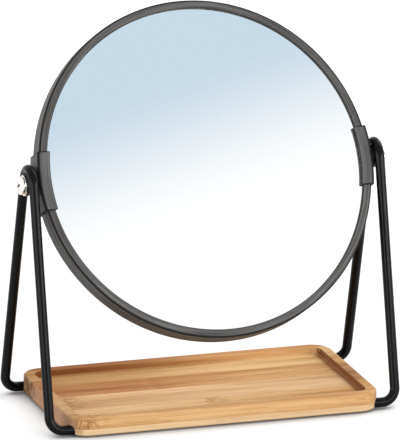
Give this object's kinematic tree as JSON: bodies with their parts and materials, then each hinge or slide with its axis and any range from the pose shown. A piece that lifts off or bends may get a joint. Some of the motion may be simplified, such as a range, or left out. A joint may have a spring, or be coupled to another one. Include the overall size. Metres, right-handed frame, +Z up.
{
  "type": "tilting vanity mirror",
  "caption": "Round two-sided mirror that tilts between the sides of a bent wire stand, over a shallow wooden tray for small things.",
  "frame": {"origin": "on the surface it stands on, in the middle of the stand", "axes": "+X to the right seen from the front, +Y to the rear, +Z up; the front glass faces -Y and up"},
  "size_m": [0.1962, 0.0952, 0.2012],
  "materials": {
    "black_wire": "black satin powder coat",
    "bamboo": "clear satin lacquer on strip bamboo",
    "pad_rubber": "matt, thin self-adhesive pad",
    "zinc_steel": "zinc plated",
    "gunmetal_rim": "dark warm grey, brushed round the hoop",
    "gunmetal_clip": "dark warm grey, satin, with darker bends",
    "silvered_glass": "plane silvered glass",
    "gasket_rubber": "matt",
    "fibreboard": "raw",
    "bright_nickel": "bright nickel plate, slightly warm",
    "dark_spring_steel": "dark oiled spring steel",
    "black_nylon": "moulded, satin"
  },
  "bodies": {
    "stand": {"left_wire_side": "black_wire", "right_wire_side": "black_wire", "tray": "bamboo", "non_slip_pads": "pad_rubber", "front_left_tab": "black_wire", "front_right_tab": "black_wire", "rear_left_tab": "black_wire", "rear_right_tab": "black_wire", "tab_screws": "zinc_steel", "left_flat_washer": "bright_nickel", "right_flat_washer": "bright_nickel", "left_bushing": "black_nylon", "right_bushing": "black_nylon"},
    "mirror": {"upper_rim": "gunmetal_rim", "lower_rim": "gunmetal_rim", "left_clip": "gunmetal_clip", "right_clip": "gunmetal_clip", "front_mirror": "silvered_glass", "rear_mirror": "silvered_glass", "front_gasket": "gasket_rubber", "rear_gasket": "gasket_rubber", "core_board": "fibreboard", "left_joiner": "zinc_steel", "right_joiner": "zinc_steel", "left_pivot_screw": "bright_nickel", "right_pivot_screw": "bright_nickel", "left_lock_washer": "dark_spring_steel", "right_lock_washer": "dark_spring_steel"}
  },
  "joints": [
    {"name": "mirror_tilt", "type": "hinge", "parent": "stand", "child": "mirror", "pos_m": [0, 0, 0.122], "axis": [1, 0, 0], "continuous": true}
  ]
}
